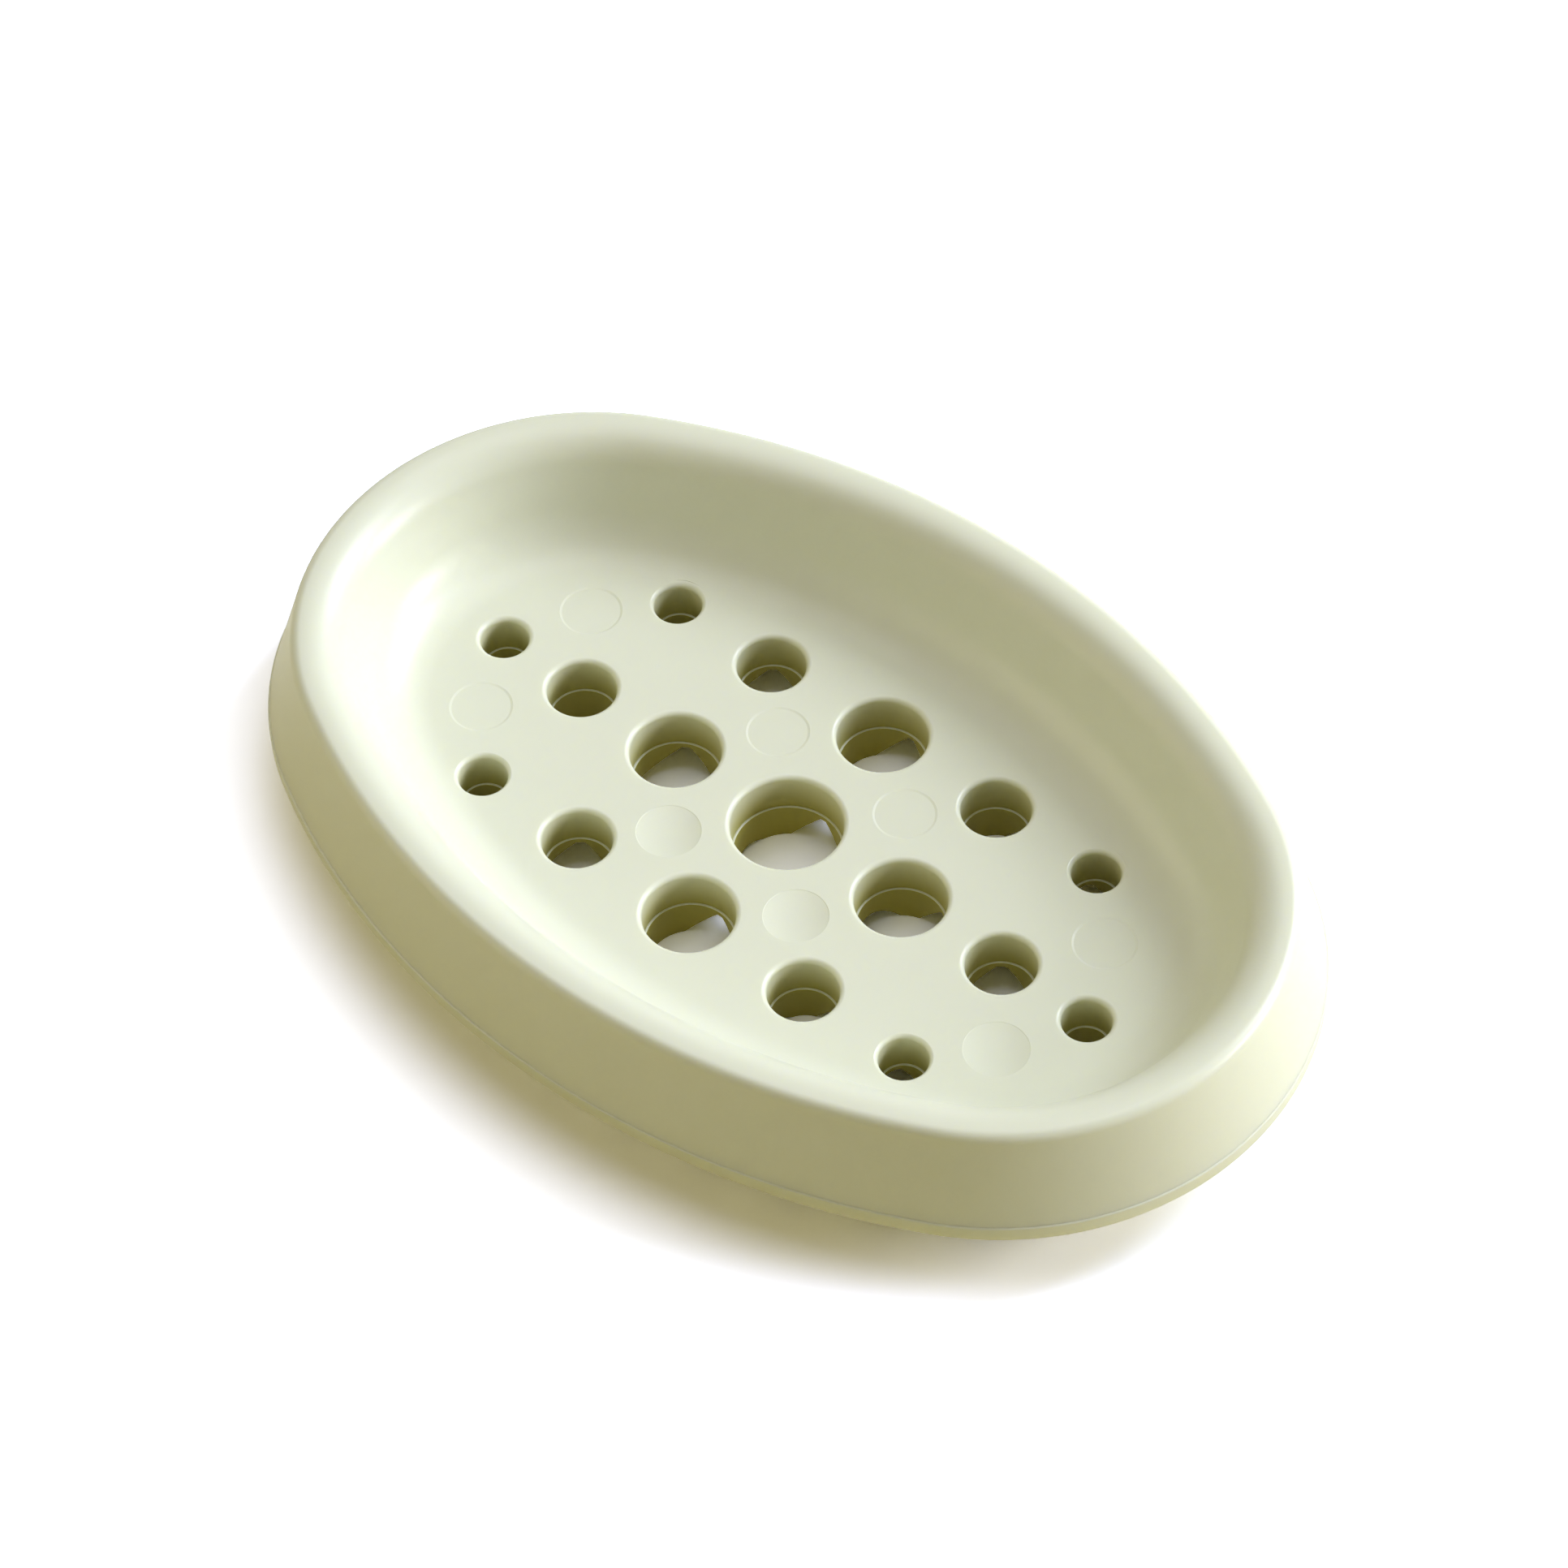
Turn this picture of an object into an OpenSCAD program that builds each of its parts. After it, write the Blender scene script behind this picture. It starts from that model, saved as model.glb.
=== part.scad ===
// Oval soap dish in two moulded pieces: a draining tray seated in a ribbed base
// Millimetres, +Z up, origin on the table under the middle of the dish, +X along the dish

/* [Outline] */
// Length of the dish at the seam, its widest line
dish_length = 125.6; // [118:0.4:150]
// Width of the dish at the seam
dish_width = 82.8; // [78:0.2:92]
// Direction, from the length, in which the end arcs meet the side arcs, in degrees
join_angle = 62; // [58:1:66]

/* [Heights] */
// Height of the seat between the two pieces
seat_height = 4.5; // [3.5:0.1:5]
// Thickness of the tray's floor
floor_thickness = 4.65; // [3:0.05:5.5]
// Height of the seam on the outside
seam_height = 9.9; // [9:0.1:11]
// Height of the top of the rim
rim_height = 20.7; // [19:0.1:26]

/* [Wall] */
// Lean of the outer wall above the seam, in degrees
outer_draft = 17.5; // [10:0.5:20]
// Radius of the rim's crisp outer edge
rim_outer_radius = 1.3; // [0.8:0.1:2.5]
// Radius of the rim's inner shoulder
rim_inner_radius = 4.7; // [3:0.1:6]
// Flat between the edge and the shoulder
rim_flat = 0.3; // [0.1:0.1:1.5]
// Lean of the inner wall, in degrees
inner_draft = 24; // [18:1:28]
// Radius of the hollow between inner wall and floor
bowl_radius = 7; // [5:0.5:9]

/* [Drain holes] */
// Radius of the middle hole
hole_radius = 6; // [4.5:0.1:6.5]
// How much smaller each hole is than the one before it, going outwards
hole_step = 1; // [0.5:0.1:1]
// Distance from the end of the dish to the middle of the last hole
end_margin = 22.3; // [20:0.1:24]
// How much closer together each two columns of holes are than the two before, going outwards
column_taper = 2.2; // [1.5:0.1:2.5]
// Distance between the rows of holes
row_pitch = 15.7; // [15:0.1:17]
// Radius of the soft edge round each hole
hole_edge_radius = 1; // [0.6:0.1:1.4]

/* [Ejector marks] */
// Radius of the round marks in the floor
mark_radius = 3.45; // [2:0.05:3.6]
// Depth of the round marks
mark_depth = 0.15; // [0.1:0.05:0.4]
// Distance of the inner marks from both middle lines
mark_inner = 8.85; // [8.5:0.05:9.5]
// Distance of the outer marks from the end of the dish
mark_end = 27; // [26:0.1:28]

/* [Base] */
// Height at which the outside of the base turns under
band_bottom = 7.9; // [7:0.1:8.4]
// Radius of that turn
band_radius = 1.2; // [0.5:0.1:2]
// Distance from the outline in to the foot
foot_inset = 9.5; // [9:0.1:12]
// Thickness of the base's rim at the seam
base_wall = 2.4; // [1.5:0.1:3]
// Thickness of the base's sloping wall
slope_wall = 2; // [1.2:0.1:2.5]
// Distance from one rib to the next
rib_pitch = 9; // [7:0.5:12]
// Width of a rib where it stands on the table
rib_foot = 1.8; // [1.2:0.1:3]
// Width of the flat roof of the channel between two ribs
channel_roof = 0.7; // [0.4:0.1:1.5]
// Thickness of the base above the channels
channel_skin = 0.6; // [0.5:0.1:1.2]

/* [Fit] */
// Clearance round the part of the tray that sits in the base
fit_gap = 0.15; // [0.1:0.05:0.3]
// Chamfer that breaks the edges along the seam
edge_break = 0.2; // [0.1:0.05:0.4]
// How far the tray's side stands in from the base's at the seam
seam_ledge = 0.2; // [0:0.05:0.4]
// How far the base's holes stand in from the tray's holes
hole_ledge = 0.25; // [0.1:0.05:0.5]

/* [Hidden] */
$fn = 96;
// Steps in each arc of a section
arc_steps = 10;
// Overlap of a piece's flat core with the section swept round it
core_lap = 1.5;
// How far a section runs in past its last corner
core_margin = 3;
eps = 0.01;
// Lean of the cone above each drain hole, where the hole reaches into the bowl's side
mouth_angle = 30;

// Oval of four arcs: two ends and two long sides that meet without a kink
half_length = dish_length / 2;
half_width = dish_width / 2;
join_slope = (1 - sin(join_angle)) / cos(join_angle);
end_radius = (half_width - half_length * join_slope) / (1 - join_slope);
end_x = half_length - end_radius;
side_radius = end_radius + end_x / cos(join_angle);
side_y = side_radius - half_width;

// Heights and distances from the outline that follow from the sizes above
floor_top = seat_height + floor_thickness;
wall_bottom = seam_height + fit_gap + edge_break;
rim_outer_x = seam_ledge + (rim_height - wall_bottom) * tan(outer_draft);
rim_width = rim_outer_radius / tan(45 + outer_draft / 2) + rim_flat
    + rim_inner_radius / tan(45 + inner_draft / 2);
rim_inner_x = rim_outer_x + rim_width;
wall_foot_x = rim_inner_x + (rim_height - floor_top) * tan(inner_draft);
bowl_foot_x = wall_foot_x + bowl_radius * tan(45 - inner_draft / 2);
tray_end = bowl_foot_x + core_margin;
base_end = foot_inset + core_margin;

// The sloping side of the base and the tray's side above it run parallel
slope_angle = atan2(band_bottom, foot_inset);
slope_shift = slope_wall / sin(slope_angle);
seat_inset = foot_inset + slope_shift - seat_height / tan(slope_angle);
step_bottom = (foot_inset + slope_shift - base_wall) * tan(slope_angle);

// Drain holes as [x, y, radius], the middle row longer than the other two
column_1 = (half_length - end_margin) / 3 + column_taper;
columns = [0, column_1, 2 * column_1 - column_taper, 3 * (column_1 - column_taper)];
function hole_size(steps) = hole_radius - hole_step * min(3, steps);
holes = [
    for (row = [-1, 0, 1])
        let (last = row == 0 ? 3 : 2)
            for (col = [-last : last])
                [sign(col) * columns[abs(col)], row * row_pitch, hole_size(abs(col) + abs(row))]
];
mark_outer = half_length - mark_end;
marks = [for (x = [-mark_outer, -mark_inner, mark_inner, mark_outer], y = [-mark_inner, mark_inner]) [x, y]];

// Distance of a point from the outline, inwards
function inset_at(x, y) = atan2(abs(y) + side_y, abs(x)) < join_angle
    ? end_radius - norm([abs(x) - end_x, y])
    : side_radius - norm([x, abs(y) + side_y]);

// Height of the bowl's surface at a distance from the outline
function bowl_height(inset) = floor_top + bowl_radius
    - sqrt(pow(bowl_radius, 2) - pow(min(bowl_radius, max(0, bowl_foot_x - inset)), 2));

// Height of a hole's edge: midway between the bowl's heights on its two sides
function hole_top(hole) =
    let (inset = inset_at(hole[0], hole[1]), reach = hole[2] + hole_edge_radius)
    (bowl_height(inset - reach) + bowl_height(inset + reach)) / 2;

// Points of the arc that rounds a corner, from the side of the point before it to the side after it
function rounded(before, corner, after, radius) =
    let (
        to_before = (before - corner) / norm(before - corner),
        to_after = (after - corner) / norm(after - corner),
        half_angle = acos(to_before * to_after) / 2,
        bisector = (to_before + to_after) / norm(to_before + to_after),
        centre = corner + bisector * radius / sin(half_angle),
        first = corner + to_before * radius / tan(half_angle) - centre,
        last = corner + to_after * radius / tan(half_angle) - centre,
        start = atan2(first[1], first[0]),
        turn = atan2(first[0] * last[1] - first[1] * last[0], first * last)
    )
    [for (i = [0 : arc_steps]) centre + radius * [cos(start + turn * i / arc_steps), sin(start + turn * i / arc_steps)]];

// Sweep a section round the oval; the section's x is the distance in from the outline
module sweep_oval() {
    for (turn = [0, 180])
        rotate([0, 0, turn]) {
            translate([end_x, 0, 0])
                rotate_extrude(start = -join_angle, angle = 2 * join_angle)
                    translate([end_radius, 0])
                        mirror([1, 0])
                            children();
            translate([0, -side_y, 0])
                rotate_extrude(start = join_angle, angle = 180 - 2 * join_angle)
                    translate([side_radius, 0])
                        mirror([1, 0])
                            children();
        }
}

// Oval area inside the outline, drawn in by inset
module oval_area(inset) {
    join_x = end_x + (end_radius - inset) * cos(join_angle);
    intersection() {
        translate([0, -side_y])
            circle(side_radius - inset);
        translate([0, side_y])
            circle(side_radius - inset);
        square([2 * join_x, dish_width], center = true);
    }
    for (x = [-end_x, end_x])
        translate([x, 0])
            circle(end_radius - inset);
}

// Section of the tray: outer wall, round rim, bowl, floor, seat and step
module tray_section() {
    seam_edge = [seam_ledge, wall_bottom];
    rim_outer = [rim_outer_x, rim_height];
    rim_inner = [rim_inner_x, rim_height];
    wall_foot = [wall_foot_x, floor_top];
    floor_end = [tray_end, floor_top];
    polygon(concat(
        [seam_edge],
        rounded(seam_edge, rim_outer, rim_inner, rim_outer_radius),
        rounded(rim_outer, rim_inner, wall_foot, rim_inner_radius),
        rounded(rim_inner, wall_foot, floor_end, bowl_radius),
        [
            floor_end,
            [tray_end, seat_height],
            [seat_inset + fit_gap, seat_height],
            [base_wall + fit_gap, step_bottom],
            [base_wall + fit_gap, seam_height + fit_gap],
            [seam_ledge + edge_break, seam_height + fit_gap]
        ]
    ));
}

// Section of the base: seam band, slope under it, foot and seat
module base_section() {
    seam_edge = [0, seam_height - edge_break];
    band_corner = [0, band_bottom];
    foot_edge = [foot_inset, 0];
    polygon(concat(
        [seam_edge],
        rounded(seam_edge, band_corner, foot_edge, band_radius),
        [
            foot_edge,
            [base_end, 0],
            [base_end, seat_height],
            [seat_inset, seat_height],
            [base_wall, step_bottom],
            [base_wall, seam_height],
            [edge_break, seam_height]
        ]
    ));
}

// Cutter for one drain hole: its soft edge runs on just past the floor, and then up as a steep cone
module drain_cutter(radius, top) {
    corner = [radius, top];
    flare = [radius + 2 * hole_edge_radius, top];
    edge = rounded([radius, 0], corner, flare, hole_edge_radius);
    run_out = 2 * edge[arc_steps] - edge[arc_steps - 1];
    mouth = run_out[0] + (rim_height - run_out[1]) * tan(mouth_angle);
    rotate_extrude()
        polygon(concat(
            [[0, seat_height - eps], [radius, seat_height - eps]],
            [for (i = [0 : arc_steps - 1]) edge[i]],
            [run_out, [mouth, rim_height], [0, rim_height]]
        ));
}

// Channel between two ribs, open at both ends
module channel() {
    foot_gap = rib_pitch - rib_foot;
    roof = seat_height - channel_skin;
    rotate([90, 0, 0])
        linear_extrude(height = dish_width, center = true)
            polygon([
                [-foot_gap / 2, -eps], [foot_gap / 2, -eps], [foot_gap / 2, 0],
                [channel_roof / 2, roof], [-channel_roof / 2, roof], [-foot_gap / 2, 0]
            ]);
}

// Upper piece: floor, bowl and rim, pierced by the drain holes
module tray() {
    color([0.86, 0.87, 0.78])
        difference() {
            union() {
                sweep_oval()
                    tray_section();
                translate([0, 0, seat_height])
                    linear_extrude(height = floor_thickness)
                        oval_area(tray_end - core_lap);
            }
            for (hole = holes)
                translate([hole[0], hole[1], 0])
                    drain_cutter(hole[2], hole_top(hole));
            for (mark = marks)
                translate([mark[0], mark[1], floor_top - mark_depth])
                    cylinder(h = 2 * mark_depth, r = mark_radius);
        }
}

// Lower piece: the base that the tray sits in, with ribs across its underside
module base() {
    channel_count = floor((half_length - foot_inset) / rib_pitch);
    color([0.82, 0.83, 0.72])
        difference() {
            union() {
                sweep_oval()
                    base_section();
                linear_extrude(height = seat_height)
                    oval_area(base_end - core_lap);
            }
            for (hole = holes)
                translate([hole[0], hole[1], -eps])
                    cylinder(h = seat_height + 2 * eps, r = hole[2] - hole_ledge);
            for (step = [-channel_count : channel_count])
                translate([step * rib_pitch, 0, 0])
                    channel();
        }
}

tray();
base();
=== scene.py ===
"""Oval soap dish of pale sage plastic: a draining tray that sits in a ribbed base."""
import math

import bmesh
import bpy
from mathutils import Matrix, Vector


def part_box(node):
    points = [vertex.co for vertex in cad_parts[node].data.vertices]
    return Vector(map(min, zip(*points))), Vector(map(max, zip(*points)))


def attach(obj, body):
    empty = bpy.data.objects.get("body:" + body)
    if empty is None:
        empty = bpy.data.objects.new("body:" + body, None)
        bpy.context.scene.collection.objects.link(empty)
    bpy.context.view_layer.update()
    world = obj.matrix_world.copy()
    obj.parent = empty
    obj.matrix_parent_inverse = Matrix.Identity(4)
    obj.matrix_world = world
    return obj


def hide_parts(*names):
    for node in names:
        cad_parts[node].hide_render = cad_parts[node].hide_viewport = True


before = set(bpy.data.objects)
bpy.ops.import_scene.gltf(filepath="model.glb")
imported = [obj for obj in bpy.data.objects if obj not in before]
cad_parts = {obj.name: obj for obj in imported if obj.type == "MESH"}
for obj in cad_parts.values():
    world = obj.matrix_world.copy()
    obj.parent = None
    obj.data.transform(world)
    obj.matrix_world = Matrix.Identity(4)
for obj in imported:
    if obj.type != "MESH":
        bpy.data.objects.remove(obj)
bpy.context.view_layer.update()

# Sizes are metres; MM turns a size in millimetres into metres
MM = 0.001

# Outline: four arcs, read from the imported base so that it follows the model
tray_low, tray_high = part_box("tray")
base_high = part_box("base")[1]
HALF_LENGTH = base_high.x
HALF_WIDTH = base_high.y
JOIN_ANGLE = math.radians(62)
JOIN_SLOPE = (1 - math.sin(JOIN_ANGLE)) / math.cos(JOIN_ANGLE)
END_RADIUS = (HALF_WIDTH - HALF_LENGTH * JOIN_SLOPE) / (1 - JOIN_SLOPE)
END_X = HALF_LENGTH - END_RADIUS
SIDE_RADIUS = END_RADIUS + END_X / math.cos(JOIN_ANGLE)
SIDE_Y = SIDE_RADIUS - HALF_WIDTH

# Heights above the table
FLOOR_THICKNESS = 4.65 * MM
SEAT = tray_low.z
SEAM = base_high.z
RIM = tray_high.z
FLOOR = SEAT + FLOOR_THICKNESS

# Tray wall
OUTER_DRAFT = math.radians(17.5)
INNER_DRAFT = math.radians(24)
RIM_OUTER_RADIUS = 1.3 * MM
RIM_INNER_RADIUS = 4.7 * MM
RIM_FLAT = 0.3 * MM
BOWL_RADIUS = 7 * MM

# Drain holes: the radii get smaller away from the middle hole
COLUMNS = [0, 15.7 * MM, 29.2 * MM, 40.5 * MM]
ROW_PITCH = 15.7 * MM
HOLE_RADII = [6.05 * MM, 4.95 * MM, 3.8 * MM, 2.65 * MM]
HOLE_EDGE = 0.6 * MM
HOLE_LEDGE = 0.25 * MM
BASE_HOLE_EDGE = 0.12 * MM
MOUTH_ANGLE = math.radians(30)
MOUTH_RISE = 4 * MM

# Ejector marks: flat ones with a sloped edge, and dished ones with a lip
MARK_RADIUS = 3.45 * MM
MARK_DEPTH = 0.07 * MM
MARK_SLOPE = 0.25 * MM
MARK_COLUMNS = [8.85 * MM, 35.8 * MM]
MARK_ROW = 8.85 * MM
DISH_DEPTH = 0.42 * MM
DISH_LIP = MARK_DEPTH / 2
DISH_EDGE_OUT = 0.1 * MM
DISH_EDGE_UP = 0.05 * MM

# Base
BAND_BOTTOM = 7.9 * MM
BAND_RADIUS = 1.2 * MM
FOOT_INSET = 9.5 * MM
BASE_WALL = 2.4 * MM
SLOPE_WALL = 2 * MM
RIB_PITCH = 9 * MM
RIB_FOOT = 1.8 * MM
CHANNEL_ROOF = 0.7 * MM
CHANNEL_SKIN = 0.6 * MM

# Fit
FIT_GAP = 0.15 * MM
EDGE_BREAK = 0.2 * MM
SEAM_GAP = 0.02 * MM
SEAM_LEDGE = 0.2 * MM

# Fineness of the meshes, and how far a cutter passes the face that it opens
END_STEPS = 72
SIDE_STEPS = 64
ARC_STEPS = 14
EDGE_BREAK_STEPS = 4
DISH_STEPS = 10
CUT_SIDES = 96
CUT_MARGIN = 1 * MM
SHARP_ANGLE = math.radians(15)

# Painted shade, a deeper colour: where it starts and is full down a hole, on steep faces; its share
# in a channel
HOLE_SHADE_START = HOLE_EDGE / 3
HOLE_SHADE_REACH = 2.2 * MM
WALL_NORMAL_Z = 0.5
CHANNEL_SHADE = 0.8
CHANNEL_MARGIN = 0.1 * MM

# Plastic: the scale of its patterns, how far each tints, dulls or raises it, and its inner glow
CLOUD_SCALE = 45
STREAK_SCALE = 160
PORE_SCALE = 2600
CLOUD_TINT = 0.5
STREAK_TINT = 0.2
STREAK_GLOSS = 0.12
PORE_GLOSS = 0.05
CLOUD_BUMP = 0.6
GRAIN_HEIGHT = 0.05 * MM
REFRACTION = 1.48
GLOW_SHARE = 0.25
GLOW_COLOUR = (1.0, 0.9, 0.35)
GLOW_REACH = 2 * MM

# Table: half its side, how far off it turns even, and where its painted shadow under and round the
# dish brightens, in shares of the dish
TABLE_HALF = 1.5
EVEN_FROM, EVEN_TO = 0.13, 0.25
PAINTED_SHADOW_FROM, PAINTED_SHADOW_TO = 0.95, 1.25

# Camera, aimed at the middle of the dish from the photograph's side
VIEW_ELEVATION = math.radians(50.733)
VIEW_AZIMUTH = math.radians(42.306)
VIEW_ROLL = math.radians(-2.06)
VIEW_DISTANCE = 575.2 * MM
VIEW_TARGET = Vector((-6.20, 6.59, 4.5)) * MM
FOCAL_LENGTH = 123.07
SENSOR_WIDTH = 36
CLIP_START = 0.01


# Section geometry
def rounded(before, corner, after, radius, steps=ARC_STEPS):
    """Points of the arc that rounds a corner of a section, as (inset, height)."""
    before, corner, after = Vector(before), Vector(corner), Vector(after)
    to_before = (before - corner).normalized()
    to_after = (after - corner).normalized()
    half_angle = to_before.angle(to_after) / 2
    bisector = (to_before + to_after).normalized()
    centre = corner + bisector * radius / math.sin(half_angle)
    first = corner + to_before * radius / math.tan(half_angle) - centre
    last = corner + to_after * radius / math.tan(half_angle) - centre
    start = math.atan2(first.y, first.x)
    turn = math.atan2(first.x * last.y - first.y * last.x, first.dot(last))
    angles = [start + turn * i / steps for i in range(steps + 1)]
    return [(centre.x + radius * math.cos(a), centre.y + radius * math.sin(a)) for a in angles]


RIM_OUTER_X = SEAM_LEDGE + (RIM - SEAM - FIT_GAP - EDGE_BREAK) * math.tan(OUTER_DRAFT)
RIM_INNER_X = (RIM_OUTER_X + RIM_FLAT
               + RIM_OUTER_RADIUS / math.tan(math.pi / 4 + OUTER_DRAFT / 2)
               + RIM_INNER_RADIUS / math.tan(math.pi / 4 + INNER_DRAFT / 2))
WALL_FOOT_X = RIM_INNER_X + (RIM - FLOOR) * math.tan(INNER_DRAFT)
BOWL_FOOT_X = WALL_FOOT_X + BOWL_RADIUS * math.tan(math.pi / 4 - INNER_DRAFT / 2)
SLOPE_ANGLE = math.atan2(BAND_BOTTOM, FOOT_INSET)
SLOPE_SHIFT = SLOPE_WALL / math.sin(SLOPE_ANGLE)
SEAT_INSET = FOOT_INSET + SLOPE_SHIFT - SEAT / math.tan(SLOPE_ANGLE)
STEP_BOTTOM = (FOOT_INSET + SLOPE_SHIFT - BASE_WALL) * math.tan(SLOPE_ANGLE)


def tray_section():
    """Tray from the middle of its floor over the rim and down to its seat, as (inset, height)."""
    seam_edge = (SEAM_LEDGE, SEAM + SEAM_GAP)
    rim_outer = (RIM_OUTER_X, RIM)
    rim_inner = (RIM_INNER_X, RIM)
    wall_foot = (WALL_FOOT_X, FLOOR)
    floor_edge = (BOWL_FOOT_X, FLOOR)
    seam_low = (BASE_WALL + FIT_GAP, SEAM + SEAM_GAP)
    return (
        rounded(floor_edge, wall_foot, rim_inner, BOWL_RADIUS)
        + rounded(wall_foot, rim_inner, rim_outer, RIM_INNER_RADIUS)
        + rounded(rim_inner, rim_outer, seam_edge, RIM_OUTER_RADIUS)
        + [seam_edge, seam_low, (BASE_WALL + FIT_GAP, STEP_BOTTOM), (SEAT_INSET + FIT_GAP, SEAT)]
    )


def base_section():
    """Base from the middle of its seat over its rim and down to its foot, as (inset, height)."""
    seat_edge = (SEAT_INSET, SEAT)
    step = (BASE_WALL, STEP_BOTTOM)
    rim_inner = (BASE_WALL, SEAM)
    rim_outer = (0, SEAM)
    band = (0, BAND_BOTTOM)
    foot = (FOOT_INSET, 0)
    return (
        [seat_edge, step, rim_inner]
        + rounded(rim_inner, rim_outer, band, EDGE_BREAK, EDGE_BREAK_STEPS)
        + rounded(rim_outer, band, foot, BAND_RADIUS)
        + [foot]
    )


def oval_directions():
    """Arc centre, arc radius and outward direction at each step round the oval."""
    stops = []
    for half_turn in (0, math.pi):
        turned = Matrix.Rotation(half_turn, 2)
        for i in range(END_STEPS):
            a = -JOIN_ANGLE + 2 * JOIN_ANGLE * i / END_STEPS
            stops.append((turned @ Vector((END_X, 0)), END_RADIUS, half_turn + a))
        for i in range(SIDE_STEPS):
            a = JOIN_ANGLE + (math.pi - 2 * JOIN_ANGLE) * i / SIDE_STEPS
            stops.append((turned @ Vector((0, -SIDE_Y)), SIDE_RADIUS, half_turn + a))
    return stops


def inset_at(x, y):
    """Distance of a point from the outline, inwards."""
    if math.atan2(abs(y) + SIDE_Y, abs(x)) < JOIN_ANGLE:
        return END_RADIUS - math.hypot(abs(x) - END_X, y)
    return SIDE_RADIUS - math.hypot(x, abs(y) + SIDE_Y)


def bowl_height(inset):
    """Height of the bowl's surface at a distance from the outline."""
    run = min(BOWL_RADIUS, max(0, BOWL_FOOT_X - inset))
    return FLOOR + BOWL_RADIUS - math.sqrt(BOWL_RADIUS ** 2 - run ** 2)


def hole_top(x, y, radius):
    """Height of a hole's edge: midway between the bowl's heights on its two sides."""
    inset = inset_at(x, y)
    reach = radius + HOLE_EDGE
    return (bowl_height(inset - reach) + bowl_height(inset + reach)) / 2


def hole_places():
    """Each drain hole as ((x, y), which of the four sizes); the middle row is the longest."""
    found = []
    for row in (-1, 0, 1):
        last = len(COLUMNS) - 1 - abs(row)
        for col in range(-last, last + 1):
            x = math.copysign(COLUMNS[abs(col)], col)
            size = min(len(HOLE_RADII) - 1, abs(col) + abs(row))
            found.append(((x, row * ROW_PITCH), size))
    return found


# Mesh building
def new_object(name, mesh):
    """Object at the origin, linked to the scene."""
    obj = bpy.data.objects.new(name, mesh)
    bpy.context.scene.collection.objects.link(obj)
    return obj


def closed_solid(name, solid):
    """Object of a closed bmesh, its faces turned outwards."""
    bmesh.ops.recalc_face_normals(solid, faces=solid.faces)
    mesh = bpy.data.meshes.new(name)
    solid.to_mesh(mesh)
    solid.free()
    return new_object(name, mesh)


def plain_mesh(obj):
    """The object's mesh with its modifiers worked out."""
    evaluated = obj.evaluated_get(bpy.context.evaluated_depsgraph_get())
    return bpy.data.meshes.new_from_object(evaluated)


def swept_shell(name, section):
    """Closed shell: the section swept round the oval, its two ends closed by flat caps."""
    shell = bmesh.new()
    rings = []
    stops = oval_directions()
    for inset, height in section:
        ring = []
        for centre, radius, angle in stops:
            reach = radius - inset
            ring.append(shell.verts.new((centre.x + reach * math.cos(angle),
                                         centre.y + reach * math.sin(angle), height)))
        rings.append(ring)
    count = len(stops)
    for inner, outer in zip(rings, rings[1:]):
        for i in range(count):
            j = (i + 1) % count
            shell.faces.new((inner[i], outer[i], outer[j], inner[j]))
    shell.faces.new(rings[0])
    shell.faces.new(list(reversed(rings[-1])))
    return closed_solid(name, shell)


def lathe(name, profile):
    """Closed cutter: a profile of (radius, height) from axis to axis, turned about Z."""
    cutter = bmesh.new()
    turns = [2 * math.pi * i / CUT_SIDES for i in range(CUT_SIDES)]
    rings = [
        [cutter.verts.new((radius * math.cos(a), radius * math.sin(a), height)) for a in turns]
        for radius, height in profile
    ]
    for low, high in zip(rings, rings[1:]):
        for i in range(CUT_SIDES):
            j = (i + 1) % CUT_SIDES
            cutter.faces.new((low[i], low[j], high[j], high[i]))
    cutter.faces.new(list(reversed(rings[0])))
    cutter.faces.new(rings[-1])
    return closed_solid(name, cutter)


def soft_hole_cutter(name, radius, edge, depth):
    """Cutter with its upper edge at height 0: a straight bore that opens in a soft edge."""
    arc = rounded((radius, -depth), (radius, 0), (radius + 2 * edge, 0), edge)
    out = 2 * Vector(arc[-1]) - Vector(arc[-2])
    mouth = out + Vector((MOUTH_RISE * math.tan(MOUTH_ANGLE), MOUTH_RISE))
    return lathe(name, [(radius, -depth)] + arc[:-1] + [tuple(out), tuple(mouth)])


def channel_cutter(name):
    """Cutter for one channel between two ribs of the base."""
    half_gap = (RIB_PITCH - RIB_FOOT) / 2
    half_roof = CHANNEL_ROOF / 2
    roof = SEAT - CHANNEL_SKIN
    outline = [(-half_gap, -CUT_MARGIN), (half_gap, -CUT_MARGIN), (half_gap, 0),
               (half_roof, roof), (-half_roof, roof), (-half_gap, 0)]
    cutter = bmesh.new()
    ends = [[cutter.verts.new((x, y, z)) for x, z in outline] for y in (-HALF_WIDTH, HALF_WIDTH)]
    count = len(outline)
    for i in range(count):
        j = (i + 1) % count
        cutter.faces.new((ends[0][i], ends[0][j], ends[1][j], ends[1][i]))
    cutter.faces.new(ends[0])
    cutter.faces.new(list(reversed(ends[1])))
    return closed_solid(name, cutter)


def places(name, points):
    """Point cloud of places, each with the number of the cutter that goes there."""
    mesh = bpy.data.meshes.new(name)
    mesh.from_pydata([p for p, _ in points], [], [])
    which = mesh.attributes.new("cutter", "INT", "POINT")
    for i, (_, number) in enumerate(points):
        which.data[i].value = number
    return new_object(name, mesh)


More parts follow.
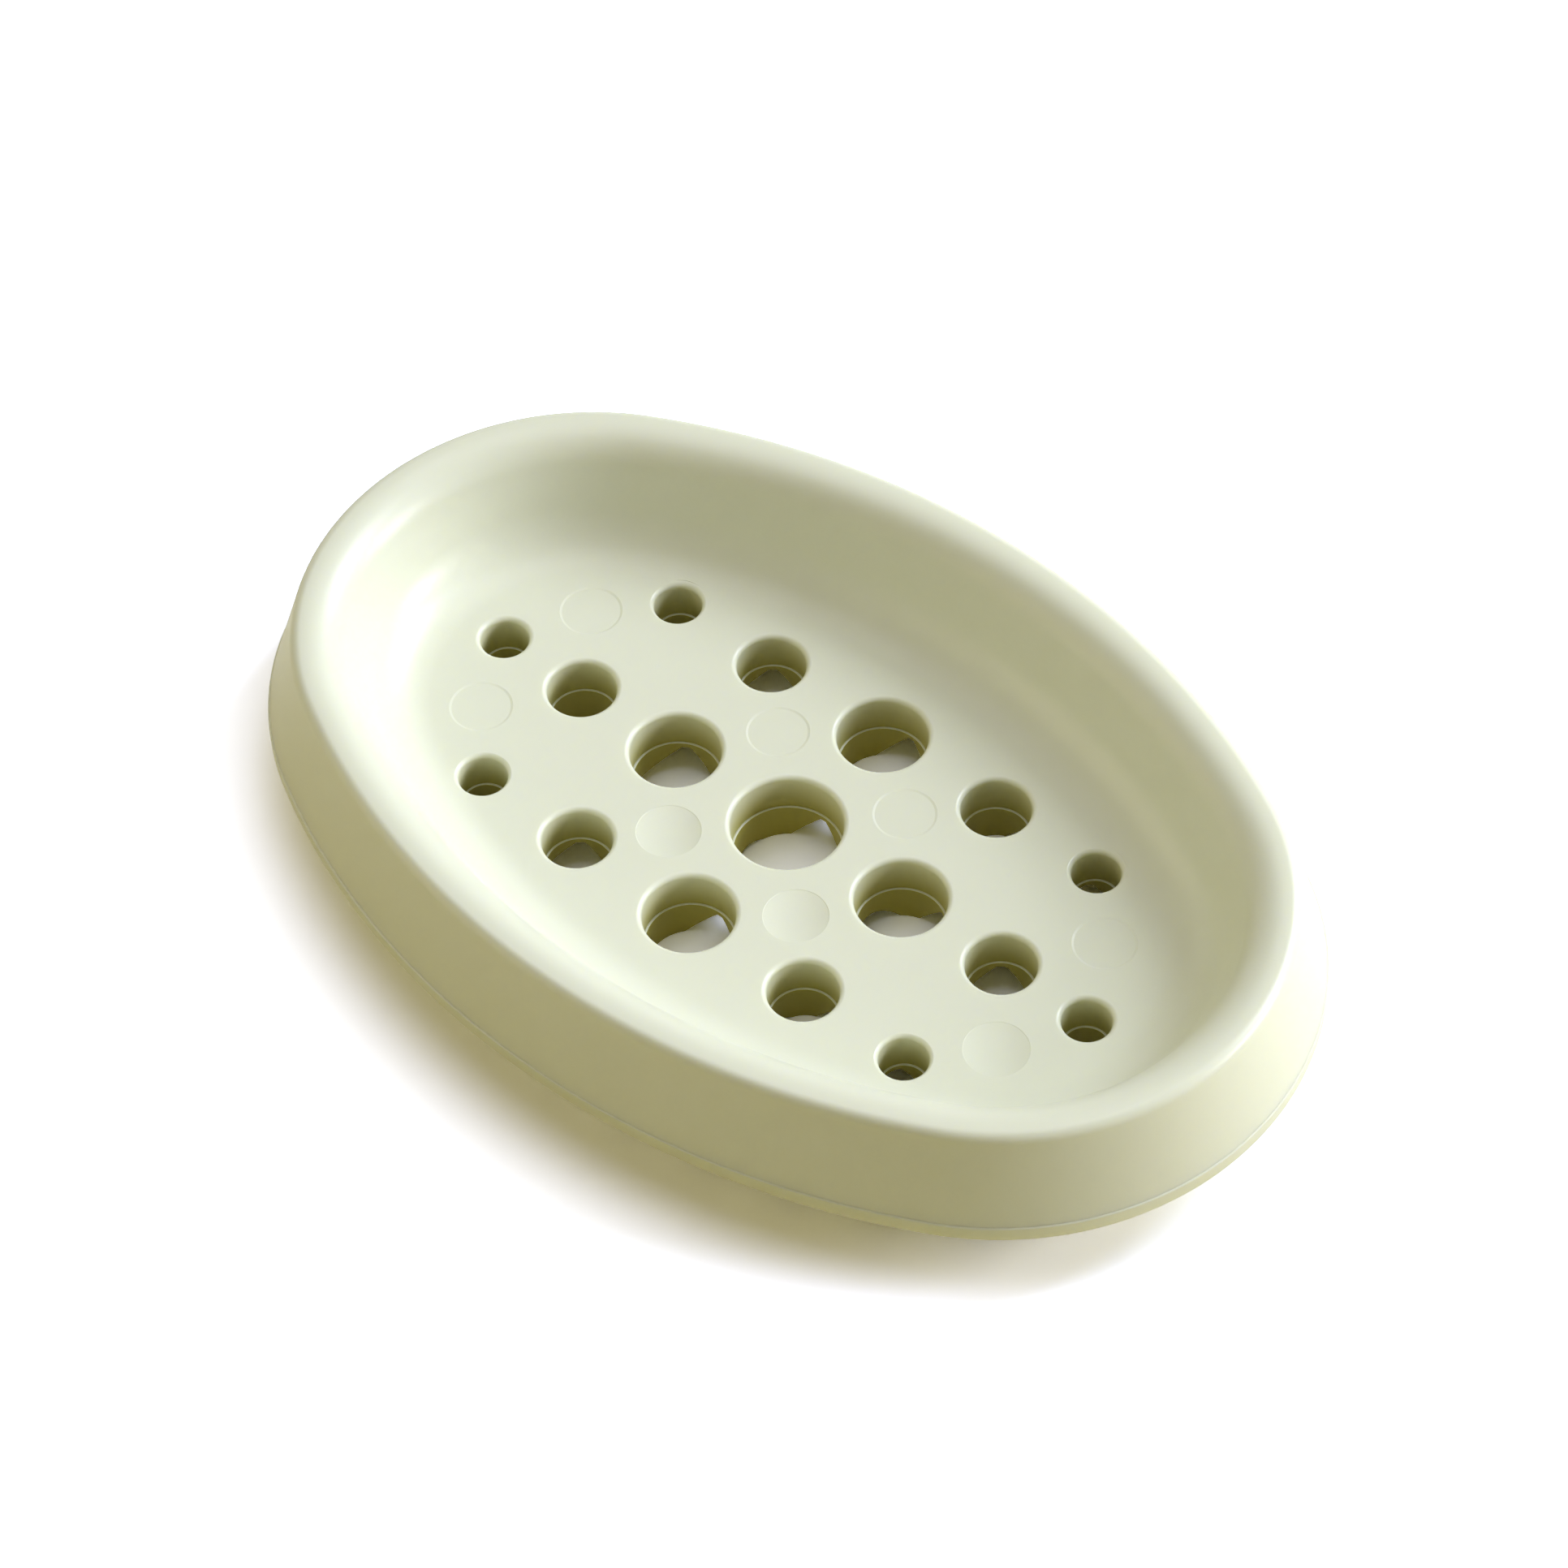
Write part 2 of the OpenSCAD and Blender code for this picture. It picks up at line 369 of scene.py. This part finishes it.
# Node trees
class Socket:
    """A node's output that is used in plain expressions."""

    def __init__(self, tree, output):
        self.tree = tree
        self.output = output

    def math(self, operation, first, second):
        """Math node on two values or sockets."""
        return self.tree.node("ShaderNodeMath", {"operation": operation}, {0: first, 1: second})

    def __add__(self, other):
        return self.math("ADD", self, other)

    def __radd__(self, other):
        return self.math("ADD", other, self)

    def __sub__(self, other):
        return self.math("SUBTRACT", self, other)

    def __rsub__(self, other):
        return self.math("SUBTRACT", other, self)

    def __mul__(self, other):
        return self.math("MULTIPLY", self, other)

    def __rmul__(self, other):
        return self.math("MULTIPLY", other, self)

    def maximum(self, other):
        """The larger of the two."""
        return self.math("MAXIMUM", self, other)


class Tree:
    """A node tree whose nodes all come from one method."""

    def __init__(self, tree):
        self.tree = tree

    def node(self, kind, settings=None, values=None, out=0):
        """New node: its settings, then its sockets' values or links; returns one output."""
        made = self.tree.nodes.new(kind)
        for key, value in (settings or {}).items():
            setattr(made, key, value)
        for key, value in (values or {}).items():
            for one in value if isinstance(value, list) else [value]:
                if isinstance(one, Socket):
                    self.tree.links.new(one.output, made.inputs[key])
                else:
                    made.inputs[key].default_value = one
        return Socket(self, made.outputs[out]) if len(made.outputs) else None


# Cutting by geometry nodes
def cutting_tree(name, cutters):
    """Tree that sets the cutters on their places, cuts them out and gives the piece its finish."""
    group = bpy.data.node_groups.new(name, "GeometryNodeTree")
    group.interface.new_socket("Geometry", in_out="INPUT", socket_type="NodeSocketGeometry")
    group.interface.new_socket("Places", in_out="INPUT", socket_type="NodeSocketObject")
    group.interface.new_socket("Material", in_out="INPUT", socket_type="NodeSocketMaterial")
    group.interface.new_socket("Geometry", in_out="OUTPUT", socket_type="NodeSocketGeometry")
    tree = Tree(group)
    piece = tree.node("NodeGroupInput", out="Geometry")
    spots = tree.node("NodeGroupInput", out="Places")
    finish = tree.node("NodeGroupInput", out="Material")
    points = tree.node("GeometryNodeObjectInfo", values={"Object": spots}, out="Geometry")
    # The last link made to a join is its first instance
    solids = [tree.node("GeometryNodeObjectInfo", values={"Object": cutter, "As Instance": True},
                        out="Geometry")
              for cutter in reversed(cutters)]
    choice = tree.node("GeometryNodeJoinGeometry", values={"Geometry": solids})
    number = tree.node("GeometryNodeInputNamedAttribute", {"data_type": "INT"}, {"Name": "cutter"})
    placed = tree.node("GeometryNodeInstanceOnPoints",
                       values={"Points": points, "Instance": choice, "Pick Instance": True,
                               "Instance Index": number})
    solid = tree.node("GeometryNodeRealizeInstances", values={"Geometry": placed})
    cut = tree.node("GeometryNodeMeshBoolean", {"operation": "DIFFERENCE", "solver": "EXACT"},
                    {"Mesh 1": piece, "Mesh 2": solid, "Self Intersection": True})
    whole = tree.node("GeometryNodeRealizeInstances", values={"Geometry": cut})
    coloured = tree.node("GeometryNodeSetMaterial", values={"Geometry": whole, "Material": finish})
    tree.node("NodeGroupOutput", values={"Geometry": coloured})
    return group


def paint_hole_shade(mesh):
    """Write the painted shade of each corner: how deep it lies in a hole, from 0 to 1, or a fixed
    share in a channel.
    """
    depth = mesh.attributes.new("hole_depth", "FLOAT", "CORNER")
    holes = [(x, y, HOLE_RADII[size]) for (x, y), size in hole_places()]
    for face in mesh.polygons:
        middle = face.center
        # Painted shade in the base's channels between the ribs
        between = CHANNEL_MARGIN < middle.z < SEAT - CHANNEL_MARGIN
        if between and inset_at(middle.x, middle.y) > FOOT_INSET:
            for corner in face.loop_indices:
                depth.data[corner].value = CHANNEL_SHADE
        if abs(face.normal.z) >= WALL_NORMAL_Z:
            continue
        for x, y, radius in holes:
            if math.hypot(middle.x - x, middle.y - y) < radius + HOLE_EDGE:
                top = hole_top(x, y, radius) - HOLE_SHADE_START
                for corner in face.loop_indices:
                    below = top - mesh.vertices[mesh.loops[corner].vertex_index].co.z
                    depth.data[corner].value = max(0, min(1, below / HOLE_SHADE_REACH))


def cut_piece(name, shell, cutters, spots, finish):
    """Plain mesh of the shell with its cutters taken out, shaded smooth but for its sharp edges."""
    group = cutting_tree(name + "_cuts", cutters)
    modifier = shell.modifiers.new("cuts", "NODES")
    modifier.node_group = group
    sockets = {s.name: s.identifier for s in group.interface.items_tree if s.in_out == "INPUT"}
    modifier[sockets["Places"]] = spots
    modifier[sockets["Material"]] = finish
    mesh = plain_mesh(shell)
    shell.modifiers.remove(modifier)
    for spare in [shell, spots] + cutters:
        bpy.data.objects.remove(spare)
    mesh.shade_smooth()
    mesh.set_sharp_from_angle(angle=SHARP_ANGLE)
    # Painted shade: darker colour down the holes and in the channels
    paint_hole_shade(mesh)
    piece = new_object(name, mesh)
    # Flat faces keep flat shading where they meet a rounded edge
    weighted = piece.modifiers.new("flat_faces_first", "WEIGHTED_NORMAL")
    weighted.mode = "FACE_AREA"
    weighted.weight = 100
    weighted.keep_sharp = True
    finished = plain_mesh(piece)
    piece.modifiers.remove(weighted)
    piece.data = finished
    bpy.data.meshes.remove(mesh)
    finished.name = name
    return piece


# Finishes
def new_material(name):
    """Empty material and its tree."""
    made = bpy.data.materials.new(name)
    made.use_nodes = True
    made.node_tree.nodes.clear()
    return made, Tree(made.node_tree)


def plastic(name, colour, cloud_colour, painted_shade_colour, roughness, grain):
    """Satin moulded plastic: clouded colour, with painted shade deeper down in the holes and
    channels, uneven gloss, fine grain.
    """
    made, tree = new_material(name)
    where = tree.node("ShaderNodeTexCoord", out="Object")
    cloud = tree.node("ShaderNodeTexNoise",
                      values={"Vector": where, "Scale": CLOUD_SCALE, "Detail": 3, "Roughness": 0.5})
    streak = tree.node("ShaderNodeTexNoise",
                       values={"Vector": where, "Scale": STREAK_SCALE, "Detail": 2,
                               "Distortion": 1.2})
    pores = tree.node("ShaderNodeTexNoise",
                      values={"Vector": where, "Scale": PORE_SCALE, "Detail": 2, "Roughness": 0.6})
    clouded = tree.node("ShaderNodeMix", {"data_type": "RGBA"},
                        {"Factor": cloud * CLOUD_TINT + streak * STREAK_TINT,
                         6: (*colour, 1), 7: (*cloud_colour, 1)}, out=2)
    depth = tree.node("ShaderNodeAttribute", {"attribute_name": "hole_depth"}, out="Fac")
    # Painted shade: the colour turns to a darker olive down the holes and in the channels
    painted_shade_mix = tree.node("ShaderNodeMix", {"data_type": "RGBA"},
                     {"Factor": depth, 6: clouded, 7: (*painted_shade_colour, 1)}, out=2)
    gloss = roughness + (streak - 0.5) * STREAK_GLOSS + (pores - 0.5) * PORE_GLOSS
    bump = tree.node("ShaderNodeBump",
                     values={"Strength": grain, "Distance": GRAIN_HEIGHT,
                             "Height": pores + cloud * CLOUD_BUMP})
    surface = tree.node("ShaderNodeBsdfPrincipled",
                        values={"Base Color": painted_shade_mix, "Roughness": gloss, "Normal": bump,
                                "IOR": REFRACTION, "Subsurface Weight": GLOW_SHARE,
                                "Subsurface Radius": GLOW_COLOUR,
                                "Subsurface Scale": GLOW_REACH})
    tree.node("ShaderNodeOutputMaterial", values={"Surface": surface})
    return made


def seen_directly(tree):
    """One where the camera sees a surface, also in a mirror or through glass."""
    path = {out: tree.node("ShaderNodeLightPath", out=out)
            for out in ("Is Camera Ray", "Is Glossy Ray", "Is Transmission Ray")}
    seen = path["Is Camera Ray"].maximum(path["Is Glossy Ray"])
    return seen.maximum(path["Is Transmission Ray"])


def table_top(name, colour, mirror_colour, seen_colour, painted_shadow_colour):
    """White table: plain as a lit surface, bright to the camera with its shadow and with a painted
    shadow darker under and round the dish, even far off.
    """
    made, tree = new_material(name)
    where = tree.node("ShaderNodeTexCoord", out="Object")
    away = tree.node("ShaderNodeVectorMath", {"operation": "LENGTH"}, {0: where}, out="Value")
    far = tree.node("ShaderNodeMapRange", {"interpolation_type": "SMOOTHSTEP"},
                    {"Value": away, "From Min": EVEN_FROM, "From Max": EVEN_TO})
    shares = tree.node("ShaderNodeVectorMath", {"operation": "DIVIDE"},
                       {0: where, 1: (HALF_LENGTH, HALF_WIDTH, 1)})
    across = tree.node("ShaderNodeVectorMath", {"operation": "LENGTH"}, {0: shares}, out="Value")
    clear = tree.node("ShaderNodeMapRange", {"interpolation_type": "SMOOTHSTEP"},
                      {"Value": across, "From Min": PAINTED_SHADOW_FROM, "From Max": PAINTED_SHADOW_TO})
    lit, mirrored, under, bright = (
        tree.node("ShaderNodeBsdfDiffuse", values={"Color": (*shown, 1)})
        for shown in (colour, mirror_colour, painted_shadow_colour, seen_colour)
    )
    to_camera = tree.node("ShaderNodeLightPath", out="Is Camera Ray")
    white = tree.node("ShaderNodeEmission", values={"Color": (1, 1, 1, 1), "Strength": 1})
    # Painted shadow: to the camera the table is darker under and round the dish than further off
    viewed = tree.node("ShaderNodeMixShader", values={"Fac": clear, 1: under, 2: bright})
    near = tree.node("ShaderNodeMixShader", values={"Fac": to_camera, 1: mirrored, 2: viewed})
    seen = tree.node("ShaderNodeMixShader", values={"Fac": far, 1: near, 2: white})
    both = tree.node("ShaderNodeMixShader", values={"Fac": seen_directly(tree), 1: lit, 2: seen})
    tree.node("ShaderNodeOutputMaterial", values={"Surface": both})
    return made


# Stage, light and camera
def add_table(finish):
    """Flat white table under the dish."""
    corners = [(-1, -1), (1, -1), (1, 1), (-1, 1)]
    mesh = bpy.data.meshes.new("table")
    mesh.from_pydata([(x * TABLE_HALF, y * TABLE_HALF, 0) for x, y in corners], [], [(0, 1, 2, 3)])
    mesh.materials.append(finish)
    table = new_object("table", mesh)


def add_lamp(name, azimuth, elevation, distance, size, power, colour):
    """Soft round lamp that faces the middle of the dish; azimuth is counted from +X to +Y."""
    azimuth, elevation = math.radians(azimuth), math.radians(elevation)
    towards = Vector((math.cos(azimuth) * math.cos(elevation),
                      math.sin(azimuth) * math.cos(elevation), math.sin(elevation)))
    data = bpy.data.lights.new(name, "AREA")
    data.shape = "DISK"
    data.size = size
    data.energy = power
    data.color = colour
    lamp = bpy.data.objects.new(name, data)
    lamp.location = towards * distance
    lamp.rotation_euler = towards.to_track_quat("Z", "Y").to_euler()
    bpy.context.scene.collection.objects.link(lamp)


def add_world(strength, colour):
    """Even surroundings, plain white where the camera sees them."""
    world = bpy.data.worlds.new("studio")
    bpy.context.scene.world = world
    world.use_nodes = True
    world.node_tree.nodes.clear()
    tree = Tree(world.node_tree)
    air = tree.node("ShaderNodeBackground", values={"Color": (*colour, 1), "Strength": strength})
    white = tree.node("ShaderNodeBackground", values={"Color": (1, 1, 1, 1), "Strength": 1})
    both = tree.node("ShaderNodeMixShader", values={"Fac": seen_directly(tree), 1: air, 2: white})
    tree.node("ShaderNodeOutputWorld", values={"Surface": both})


def add_camera():
    """Camera at the photograph's angle."""
    back = Vector((math.sin(VIEW_AZIMUTH) * math.cos(VIEW_ELEVATION),
                   -math.cos(VIEW_AZIMUTH) * math.cos(VIEW_ELEVATION), math.sin(VIEW_ELEVATION)))
    level = Vector((0, 0, 1)).cross(back).normalized()
    upright = back.cross(level)
    right = math.cos(VIEW_ROLL) * level + math.sin(VIEW_ROLL) * upright
    up = math.cos(VIEW_ROLL) * upright - math.sin(VIEW_ROLL) * level
    data = bpy.data.cameras.new("camera")
    data.sensor_width = SENSOR_WIDTH
    data.lens = FOCAL_LENGTH
    data.clip_start = CLIP_START
    camera = bpy.data.objects.new("camera", data)
    turn = Matrix((right, up, back)).transposed().to_4x4()
    camera.matrix_world = Matrix.Translation(VIEW_TARGET + VIEW_DISTANCE * back) @ turn
    bpy.context.scene.collection.objects.link(camera)
    bpy.context.scene.camera = camera


# The two pieces
def mark_cutters():
    """Cutters of the flat and the dished ejector mark, with the floor at height 0."""
    top = (MARK_RADIUS + MARK_SLOPE * CUT_MARGIN / MARK_DEPTH, CUT_MARGIN)
    flat = lathe("mark", [(MARK_RADIUS - MARK_SLOPE, -MARK_DEPTH), top])
    shares = [i / DISH_STEPS for i in range(1, DISH_STEPS + 1)]
    hollow = [(MARK_RADIUS * share, (DISH_DEPTH - DISH_LIP) * (share ** 2 - 1) - DISH_LIP)
              for share in shares]
    edge = (MARK_RADIUS + DISH_EDGE_OUT, DISH_EDGE_UP)
    return [flat, lathe("dished_mark", hollow + [edge, top])]


def build_tray(finish):
    """Upper piece with its bowl, soft-edged drain holes and ejector marks."""
    shell = swept_shell("tray_shell", tray_section())
    cutters = [soft_hole_cutter("hole_%d" % i, radius, HOLE_EDGE, FLOOR)
               for i, radius in enumerate(HOLE_RADII)]
    flat_mark, dished_mark = len(cutters), len(cutters) + 1
    cutters += mark_cutters()
    spots = [((x, y, hole_top(x, y, HOLE_RADII[size])), size) for (x, y), size in hole_places()]
    inner, outer = MARK_COLUMNS
    dished = [(-inner, -MARK_ROW), (inner, -MARK_ROW), (outer, -MARK_ROW)]
    for x in (-outer, -inner, inner, outer):
        for y in (-MARK_ROW, MARK_ROW):
            spots.append(((x, y, FLOOR), dished_mark if (x, y) in dished else flat_mark))
    return cut_piece("draining_tray", shell, cutters, places("tray_places", spots), finish)


def build_base(finish):
    """Lower piece with its holes under the tray's and the ribs that it stands on."""
    shell = swept_shell("base_shell", base_section())
    cutters = [soft_hole_cutter("base_hole_%d" % i, radius - HOLE_LEDGE, BASE_HOLE_EDGE,
                                SEAT + CUT_MARGIN)
               for i, radius in enumerate(HOLE_RADII)]
    channel = len(cutters)
    cutters.append(channel_cutter("channel"))
    spots = [((x, y, SEAT), size) for (x, y), size in hole_places()]
    count = math.floor((HALF_LENGTH - FOOT_INSET) / RIB_PITCH)
    spots += [((step * RIB_PITCH, 0, 0), channel) for step in range(-count, count + 1)]
    return cut_piece("ribbed_base", shell, cutters, places("base_places", spots), finish)


add_camera()
add_world(strength=0.11, colour=(1.0, 0.86, 0.38))
add_lamp("window", azimuth=70, elevation=38, distance=1.1, size=0.55, power=10.2,
         colour=(0.765, 0.845, 1.0))
add_lamp("side_window", azimuth=38, elevation=19, distance=1.1, size=0.45, power=7.3,
         colour=(0.88, 0.90, 1.0))
add_lamp("ceiling", azimuth=150, elevation=78, distance=1.2, size=1.0, power=3.6,
         colour=(0.88, 0.90, 1.0))
add_lamp("bounce", azimuth=226, elevation=22, distance=1.2, size=0.9, power=2.7,
         colour=(1.0, 0.90, 0.52))
add_table(table_top("white_table", colour=(0.86, 0.77, 0.42), mirror_colour=(1.2, 1.18, 1.1),
                    seen_colour=(3.0, 3.15, 4.0), painted_shadow_colour=(1.5, 1.52, 1.75)))

# Painted shade: the darker olive of hole walls and channels
PAINTED_SHADE_SAGE = (0.46, 0.42, 0.085)
tray = build_tray(plastic("tray_plastic", colour=(0.795, 0.80, 0.63),
                          cloud_colour=(0.775, 0.78, 0.605), painted_shade_colour=PAINTED_SHADE_SAGE,
                          roughness=0.33, grain=0.10))
base = build_base(plastic("base_plastic", colour=(0.775, 0.78, 0.605),
                          cloud_colour=(0.755, 0.76, 0.58), painted_shade_colour=PAINTED_SHADE_SAGE,
                          roughness=0.37, grain=0.12))
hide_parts("tray")
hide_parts("base")
for piece in (tray, base):
    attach(piece, "root")

bpy.context.scene.view_settings.view_transform = "Standard"
